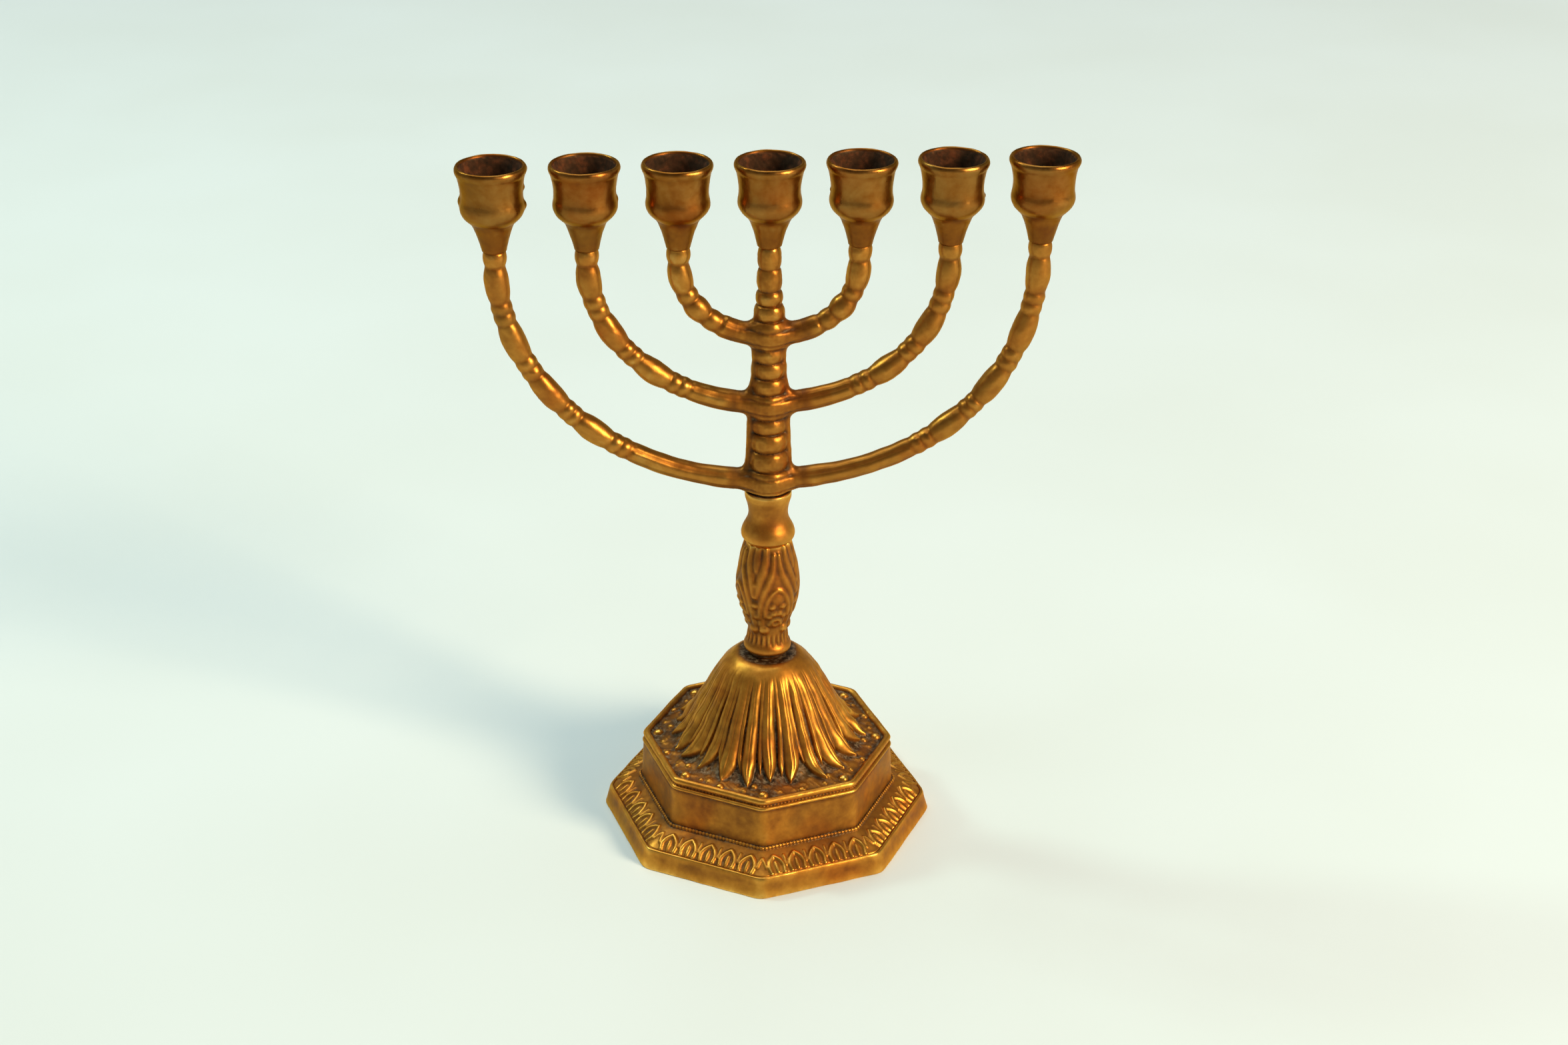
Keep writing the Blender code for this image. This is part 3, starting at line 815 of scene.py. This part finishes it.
def rounded(values, rounds):
    """The values along a line, each averaged with its neighbours this many times."""
    for _ in range(rounds):
        ends = np.concatenate([values[:1], values, values[-1:]])
        values = (ends[:-2] + 2 * values + ends[2:]) / 4
    return values


def plain_ridge(from_front):
    """The light band and dark grooves along the front and back of a branch's plain stretch."""
    groove = np.exp(-(((from_front - math.radians(38)) / math.radians(10)) ** 2))
    band = np.exp(-((from_front / math.radians(24)) ** 4))
    return 0.05 * band - 0.15 * groove


# The column's beads and hubs from the top: upper and lower edge, groove and crest radius.
COLUMN_BEADS = (
    (158.6, 153.2, 2.35, 2.92), (153.2, 147.5, 2.45, 3.10), (147.5, 144.0, 2.65, 3.35),
    (144.0, 140.0, 2.85, 3.75), (140.0, 132.9, 3.3, 4.4), (132.9, 129.2, 3.1, 3.75),
    (129.2, 125.1, 3.2, 4.05), (125.1, 120.9, 3.4, 4.35), (120.9, 114.4, 3.7, 4.9),
    (114.4, 110.4, 3.6, 4.45), (110.4, 105.5, 3.8, 4.85), (105.5, 100.3, 4.0, 5.1),
    (100.3, 93.0, 4.2, 5.45),
)
# (height, half the web's width there)
COLUMN_WEB = (
    (93.0, 5.6), (101.0, 6.0), (104.0, 5.7), (109.0, 5.5), (114.0, 5.3), (120.5, 5.3), (124.0, 4.5),
    (129.0, 4.15), (133.0, 4.2), (140.0, 3.9), (145.0, 2.4), (150.0, 1.0), (160.0, 0.8),
)
WEB_THICKNESS = 1.35  # half of it, as the web's flat faces lie to the front and back
COLUMN_TOP = 158.9
COLUMN_BOTTOM = 94.35


def smooth_min(a, b, width):
    """The smaller of two distances, rounded where they are within width of each other."""
    near = np.clip(width - np.abs(a - b), 0, None) / width
    return np.minimum(a, b) - near * near * width / 4


def centre_line(size, x, distance):
    """A branch's height and slope at a distance from the axis, on the side of the sign of x."""
    table = np.linspace(0.0, SEAM + 6.0, 600)
    found = []
    for side in (-1, 1):
        heights = centre_height(size, side, table)
        slopes = np.gradient(heights, table)
        found.append((np.interp(distance, table, heights), np.interp(distance, table, slopes)))
    (left, left_slope), (right, right_slope) = found
    return np.where(x > 0, right, left), np.where(x > 0, right_slope, left_slope)


def column_field(points):
    """Distance to the column's surface in millimetres, about: negative inside."""
    x, y, z = points[..., 0], points[..., 1], points[..., 2]
    least_girth, far = 2.3, 99.0
    girth = np.full(z.shape, least_girth)
    for upper, lower, groove, crest in COLUMN_BEADS:
        inside = (z <= upper) & (z > lower)
        part = (upper - z) / (upper - lower)
        girth = np.where(inside, groove + (crest - groove) * bulge(part, 0.55), girth)
    beads = (np.hypot(x, y) - girth) * 0.85
    heights, widths = np.array(COLUMN_WEB).T
    round_edge = 1.1
    qx = np.abs(x) - np.interp(z, heights, widths) + round_edge
    qy = np.abs(y) - WEB_THICKNESS + round_edge
    web = np.hypot(np.maximum(qx, 0), np.maximum(qy, 0)) + np.minimum(np.maximum(qx, qy), 0) - round_edge
    tubes = np.full(z.shape, far)
    rings = np.zeros(z.shape)
    away = np.abs(x)
    for size in BRANCHES:
        # foot is where the branch's centre line passes closest, after one step towards it.
        height, slope = centre_line(size, x, away)
        foot = away + (z - height) * slope / np.sqrt(1 + slope**2) ** 2
        height, slope = centre_line(size, x, foot)
        off = ((z - height) - slope * (away - foot)) / np.sqrt(1 + slope**2)
        section = TUBE + plain_ridge(np.arctan2(np.abs(off), np.abs(y)))
        # The stub stays a hair under the branch that overlaps it, and shrinks inside it.
        section = section - 0.02 * smoothstep(foot, SEAM - 2.5, SEAM - 0.8)
        section = section - 0.6 * smoothstep(foot, SEAM + 0.2, SEAM + 0.7)
        tube = np.maximum(np.hypot(off, y) - section, foot - SEAM - 0.8)
        tubes = np.minimum(tubes, tube)
        rings += np.exp(-(((np.abs(off) - 1.75) / 0.32) ** 2))
    core = smooth_min(beads, web, 0.8)
    found = smooth_min(core, tubes, 2.2) + 0.15 * rings * smoothstep(-away, -8.0, -4.0)
    found = np.maximum(found, z - COLUMN_TOP)
    return np.maximum(found, COLUMN_BOTTOM - z)


def make_column(material):
    """The beaded column with its webs, its hubs and the branches' stubs."""
    cell = 0.23
    reach = SEAM + 2.2
    points, quads = surface_net(column_field, (-reach, -6.6, 93.4), (reach, 6.6, 159.6), cell)
    for _ in range(3):
        normals, slope = field_normals(column_field, points)
        points = points - normals * (column_field(points) / np.maximum(slope, 0.3))[:, None] * 0.8
    points = neighbour_average(points, quads, 1)
    normals, _ = field_normals(column_field, points)
    relief = unevenness(points, 3.0, 0.04, 41) + unevenness(points, 1.3, 0.015, 42)
    ends = (points[:, 2] > COLUMN_TOP - 0.5) | (points[:, 2] < COLUMN_BOTTOM + 0.35)
    relief = np.where(ends, 0.0, relief)
    near_axis = smoothstep(-np.abs(points[:, 0]), -SEAM, 2.5 - SEAM)
    relief = relief * near_axis
    points = points + relief[:, None] * normals
    averaged_points = neighbour_average(points, quads, 26)
    worn_and_shaded = np.clip(((points - averaged_points) * normals).sum(-1) / 0.24, -1, 1) * near_axis
    # Painted shade: the hub's underside, where it sits on the collar, is darkened.
    worn_and_shaded = np.where(points[:, 2] < COLUMN_BOTTOM + 0.25, -1.5, worn_and_shaded)
    corners, sizes = quads.reshape(-1), np.full(len(quads), 4)
    inside = np.zeros(len(points))
    finish_piece(
        "centre_column", points, corners, sizes, worn_and_shaded, inside, "head", material
    )


def branch_line(size, side):
    """Points down a branch's centre line in (x, z), with their arc lengths from its level."""
    reach = BRANCHES[size][0]
    above = CUP_BASE - 0.05 - LEVEL
    end = math.acos((SEAM - 0.5) / reach)
    x = reach * np.cos(np.linspace(0, end, 1200))
    curve = np.stack([x, centre_height(size, side, x)], -1)
    straight = np.array([[reach, LEVEL + part * above] for part in (1.0, 0.75, 0.5, 0.25)])
    line = np.vstack([straight, curve])
    steps = np.linalg.norm(np.diff(line, axis=0), axis=1)
    return line, np.concatenate([[0], np.cumsum(steps)]) - above


def branch_radius(along, size, length):
    """The branch's radius by arc length, and where it is plain, 0 to 1."""
    barrels, beads, plain_radius = BRANCHES[size][3:]
    neck = 2.36
    radius = np.full(along.shape, neck)
    top = LEVEL - CUP_BASE
    radius = np.where(along < -0.1, neck + 0.55 * bulge((along - top + 0.3) / (0.2 - top), 0.6), radius)
    for start, end, following in zip(barrels[::2], barrels[1::2], [*barrels[2::2], None]):
        inside = (along >= start) & (along < end)
        part = (along - start) / (end - start)
        radius = np.where(inside, neck + 0.64 * bulge(part, 0.72), radius)
        if following is None:
            continue
        edge = 0.35
        width = (following - end - 2 * edge) / beads
        for i in range(beads):
            first = end + edge + i * width
            inside = (along >= first) & (along < first + width)
            part = (along - first) / width
            radius = np.where(inside, neck + 0.30 * bulge(part, 0.8), radius)
    plain = smoothstep(along, barrels[-1] - 0.1, barrels[-1] + 1.0)
    swell = plain_radius + (TUBE - plain_radius) * smoothstep(along, length - 12.0, length - 2.5)
    radius = np.where(along >= barrels[-1], neck + (swell - neck) * plain, radius)
    return radius, plain


def make_branch(size, side, material):
    """A branch from its cup down to the column, on the left (-1) or the right (1)."""
    line, lengths = branch_line(size, side)
    # The last rows lie close together, so that the branch ends in a clean step on the column's stub.
    ends = lengths[-1] - np.array([0.012, 0.002, 0.0])
    along = np.append(np.arange(lengths[0], lengths[-1] - 0.1, 0.16), ends)
    x = np.interp(along, lengths, line[:, 0])
    z = np.interp(along, lengths, line[:, 1])
    centre = np.stack([x, np.zeros(len(x)), z], -1)
    tangent = np.gradient(centre, along, axis=0)
    tangent[-3:] = tangent[-4]
    tangent /= np.linalg.norm(tangent, axis=1, keepdims=True)
    second = np.array([0.0, 1.0, 0.0])
    first = -np.cross(second, tangent)
    radius, plain = branch_radius(along, size, lengths[-1])
    radius = rounded(radius, 2)
    columns = 60
    angle = round_angles(columns)
    from_front = np.arctan2(np.abs(np.cos(angle)), np.abs(np.sin(angle)))
    section = radius[:, None] + plain[:, None] * plain_ridge(from_front)[None, :]
    section[-1] -= 0.4
    side_weight = np.sin(from_front)[None, :] ** 2
    section += side_weight * (rounded(radius, 9) - radius)[:, None]
    points = centre[:, None, :] + section[..., None] * (
        np.cos(angle)[None, :, None] * first[:, None, :]
        + np.sin(angle)[None, :, None] * second[None, None, :]
    )
    if side < 0:
        points = points[:, ::-1].copy()
        points[..., 0] *= -1
    seed = BRANCH_SEEDS[size] + (side > 0)
    relief = unevenness(points, 5.0, 0.05, seed)
    relief += unevenness(points, 1.8, 0.015, seed + 2) * (1 - 0.7 * plain)[:, None]
    relief *= smoothstep(x, SEAM, SEAM + 2.0)[:, None]
    relief[:2] = 0
    normals = grid_normals(points, False)
    normals[-3:] = normals[-4]
    points = points + relief[..., None] * normals
    node = f"branch_{size}_{'right' if side > 0 else 'left'}"
    keep = smoothstep(x, SEAM, SEAM + 2.5)[:, None]
    grid_piece(node, points, "head", material, False, (20, 0.27), keep=keep)


# Mould flash on the cups' sides: cup number, side, height, size across and how far it stands out.
FLASH = (
    (1, -1, 171.4, 1.1, 0.50),
    (1, 1, 174.4, 0.7, 0.32),
    (1, 1, 170.2, 1.1, 0.42),
    (2, 1, 171.4, 0.9, 0.32),
    (5, -1, 172.6, 0.5, 0.22),
    (6, 1, 170.4, 0.6, 0.25),
)


def cup_profile(top):
    """Two runs of (radius, height): up the seat from its middle, and over the rim and down."""
    floor = top - 13.0
    seat = outline(
        (0.4, floor),
        (0.6, (5.3, floor), (5.9, floor + 0.3)),
        (0.5, (6.1, top - 6.0), (6.8, top - 2.4), (7.25, top - 1.0)),
    )
    rim = [(7.45, -0.4), (7.75, -0.05), (8.1, -0.12), (8.42, -0.6), (8.5, -1.2), (8.27, -1.9)]
    bowl = [
        (7.95, -2.6), (7.66, -4.0), (7.44, -5.6), (7.35, -7.0), (7.4, -8.3), (7.6, -9.4),
        (7.66, -10.3), (7.5, -11.2), (6.95, -12.3), (6.1, -13.25), (5.4, -13.9),
    ]
    trumpet = [
        (4.9, -14.7), (4.5, -15.7), (4.05, -16.9), (3.6, -18.4), (3.22, -19.9),
        (3.03, -20.7), (2.95, -20.85), (2.97, -21.0), (2.78, -21.2),
    ]
    runs = []
    for step, points in ((0.16, rim), (0.22, bowl), (0.14, trumpet)):
        runs.append((step, *[(r, top + z) for r, z in points]))
    return seat, outline(seat[-1], *runs)


def make_cup(number, material):
    """A candle cup, numbered from the left."""
    node = f"candle_cup_{number}"
    low, high = node_box(node)
    middle, top = (low[0] + high[0]) / 2, high[2]
    seat, outer = cup_profile(top)
    profile = np.vstack([seat, outer[1:]])
    columns = 120
    points = turned(profile, columns)
    outer_row = np.arange(len(profile)) > len(seat)
    inner = np.repeat(np.where(outer_row, 0.0, 1.0)[:, None], columns, 1)
    inner = averaged(inner[..., None], False, 3)[..., 0]
    seed = 80 + 3 * number
    moved = points + np.array([13.0 * number, 0.0, 0.0])  # so that no two cups are alike
    relief = unevenness(moved, 6.0, 0.04, seed) + unevenness(moved, 1.6, 0.012, seed + 1)
    relief += np.where(outer_row[:, None], 0.0, 0.05 * waves(moved, 1.2, seed + 2))
    for cup, side, at, size, rise in FLASH:
        if cup == number:
            away = np.hypot(points[..., 1] / 0.55, (points[..., 2] - at)) / size
            facing = (points[..., 0] * side > 0) & outer_row[:, None]
            relief += np.where(facing, rise * np.exp(-(away**2.5)), 0.0)
    relief[0] = 0
    points = points + relief[..., None] * grid_normals(points, False)
    points[..., 2] = np.minimum(points[..., 2], top)
    points[..., 0] += middle
    grid_piece(node, points, "head", material, False, (50, 0.20), None, inner)


# ---- the fasteners


def make_rod(material):
    """The tie rod, threaded from end to end."""
    low, high = node_box("tie_rod")
    pitch, radius, depth = 0.6, 1.6, 0.16
    point, step = 0.3, 0.15
    turns = np.arange(high[2] - point, low[2] + point, -step)
    height = np.concatenate([[high[2]], turns, [low[2]]])
    angle = round_angles(36)
    phase = (height[:, None] / pitch + angle[None, :] / TURN) % 1.0
    thread = radius - depth * (1 - np.abs(2 * phase - 1))
    thread[0] = thread[-1] = radius - 2 * depth
    points = np.stack(
        [thread * np.cos(angle), thread * np.sin(angle), height[:, None] * np.ones(len(angle))], -1
    )
    grid_piece("tie_rod", points, "head", material, False, (6, 0.1))


def ring_profile(low, high, face, outer, chamfer, steps):
    """The section of a ring round the rod: a flat face to the radius face, then a chamfer."""
    across, slant, side, bore = steps
    return outline(
        (BORE, high),
        (across, (face, high)),
        (slant, (outer, high - chamfer)),
        (side, (outer, low + chamfer)),
        (slant, (face, low)),
        (across, (BORE, low)),
        (bore, (BORE, high)),
    )[:-1]


def make_washer(material):
    low, high = node_box("washer")
    edge, outer = 0.15, high[0]
    profile = ring_profile(low[2], high[2], outer - edge, outer, edge, (0.4, 0.2, 0.3, 0.5))
    grid_piece("washer", turned(profile, 64), "head", material, True, (8, 0.1))


def make_nut(material):
    """A hexagon nut, whose corners are turned off in a cone at both faces."""
    low, high = node_box("hex_nut")
    corner = (high[0] - low[0]) / 2
    face, chamfer = 2.9, 0.55
    profile = ring_profile(low[2], high[2], face, corner, chamfer, (0.2, 0.1, 0.3, 0.4))
    columns = 96
    points = turned(profile, columns)
    angle = round_angles(columns)
    flat = corner * math.cos(math.pi / 6) / np.cos(angle % (math.pi / 3) - math.pi / 6)
    radius = np.minimum(profile[:, :1], flat[None, :])
    points[..., 0] = radius * np.cos(angle)
    points[..., 1] = radius * np.sin(angle)
    grid_piece("hex_nut", points, "head", material, True, (6, 0.1))


# ---- floor, light and camera


def make_floor():
    """A pale floor, flat under the object and rising far around it."""
    n = Nodes("pale_cloth")
    shade = n.noise(7.0, 2.0, 0.5)
    colour = n.ramp(shade, [(0.35, (0.715, 0.775, 0.77)), (0.65, (0.735, 0.80, 0.805))])
    material = n.finish({"Base Color": colour, "Roughness": 0.9, "Specular IOR Level": 0.15})
    flat_radius, sides = 3.0, 64
    rings = [(1.0, 0.0), (flat_radius, 0.0)]
    rings += [(flat_radius + math.sin(t), 1 - math.cos(t)) for t in np.linspace(0.1, 1.5, 15)]
    vertices = []
    for r, z in rings:
        for i in range(sides):
            angle = i * (TURN / sides)
            vertices.append((r * math.cos(angle), r * math.sin(angle), z))
    vertices.append((0.0, 0.0, 0.0))
    faces = [(i, (i + 1) % sides, len(vertices) - 1) for i in range(sides)]
    for row in range(len(rings) - 1):
        here, beyond = row * sides, (row + 1) * sides
        for i in range(sides):
            after = (i + 1) % sides
            faces.append((here + i, beyond + i, beyond + after, here + after))
    mesh = bpy.data.meshes.new("floor")
    mesh.from_pydata(vertices, [], faces)
    mesh.shade_smooth()
    mesh.materials.append(material)
    floor = placed("floor", mesh)


def add_light(name, place, size, power, colour):
    """A rectangular soft light that shines on the middle of the object."""
    data = bpy.data.lights.new(name, "AREA")
    data.shape = "RECTANGLE"
    data.size, data.size_y = size
    data.energy = power
    data.color = colour
    light = placed(name, data)
    light.location = place
    direction = Vector((0.0, 0.0, 0.09)) - Vector(place)
    light.rotation_euler = direction.to_track_quat("-Z", "Y").to_euler()


def make_light():
    """A warm lamp at the right, a small cool window at the left, and a broad cool ceiling."""
    add_light("key", (1.64, -1.16, 1.15), (0.64, 0.80), 54.0, (1.0, 0.82, 0.56))
    add_light("window", (-0.78, 0.36, 0.86), (0.14, 0.18), 2.8, (0.72, 1.0, 0.85))
    add_light("overhead", (-0.4, 0.8, 3.4), (3.4, 3.4), 86.0, (0.89, 1.0, 1.0))
    world = bpy.data.worlds.new("room")
    world.use_nodes = True
    tree = world.node_tree
    background = tree.nodes["Background"]
    place = tree.nodes.new("ShaderNodeTexCoord")
    split = tree.nodes.new("ShaderNodeSeparateXYZ")
    ramp = tree.nodes.new("ShaderNodeValToRGB")
    near, up = ramp.color_ramp.elements
    near.position = 0.0
    near.color = (0.38, 0.37, 0.35, 1.0)
    up.position = 0.6
    up.color = (0.09, 0.095, 0.10, 1.0)
    tree.links.new(place.outputs["Generated"], split.inputs["Vector"])
    tree.links.new(split.outputs["Z"], ramp.inputs["Fac"])
    tree.links.new(ramp.outputs["Color"], background.inputs["Color"])
    background.inputs["Strength"].default_value = 1.0
    bpy.context.scene.world = world


def make_camera():
    """The photograph's viewpoint: placed by azimuth, elevation and distance, aimed and rolled."""
    low, high = cad_box
    target = Vector((0.0, 0.0, (low[2] + high[2]) / 2))
    flat = math.cos(CAMERA_ELEVATION)
    side, front = math.sin(CAMERA_AZIMUTH) * flat, math.cos(CAMERA_AZIMUTH) * flat
    away = Vector((side, -front, math.sin(CAMERA_ELEVATION)))
    place = Matrix.Translation(target + away * CAMERA_DISTANCE)
    yaw = Matrix.Rotation(CAMERA_AZIMUTH - AIM_YAW, 4, "Z")
    pitch = Matrix.Rotation(math.pi / 2 - CAMERA_ELEVATION - AIM_PITCH, 4, "X")
    roll = Matrix.Rotation(CAMERA_ROLL, 4, "Z")
    data = bpy.data.cameras.new("camera")
    data.lens = CAMERA_LENS
    data.sensor_width = 36.0
    data.clip_start = 0.01
    camera = placed("camera", data)
    camera.matrix_world = place @ yaw @ pitch @ roll
    bpy.context.scene.camera = camera


make_camera()
make_floor()
make_light()
bpy.context.scene.view_settings.view_transform = "Standard"

foot_brass = aged_brass("foot_brass_aged", (1.15, 1.22, 1.10), 0.30, 0.65)
stem_brass = aged_brass("stem_brass_aged", (0.90, 0.88, 0.82), 0.32, 0.35)
head_brass = aged_brass("head_brass_aged", (0.70, 0.65, 0.60), 0.31, 0.32)
cup_brass = aged_brass("cup_brass_aged", (0.38, 0.29, 0.23), 0.31, 0.2, inside_dark=True)
steel = zinc_plate("zinc_steel_dull")

make_foot(foot_brass)
make_vase(stem_brass)
make_collar(stem_brass)
make_column(head_brass)
for branch_size in BRANCHES:
    for branch_side in (-1, 1):
        make_branch(branch_size, branch_side, head_brass)
for cup_number in range(1, 8):
    make_cup(cup_number, cup_brass)
make_rod(steel)
make_washer(steel)
make_nut(steel)
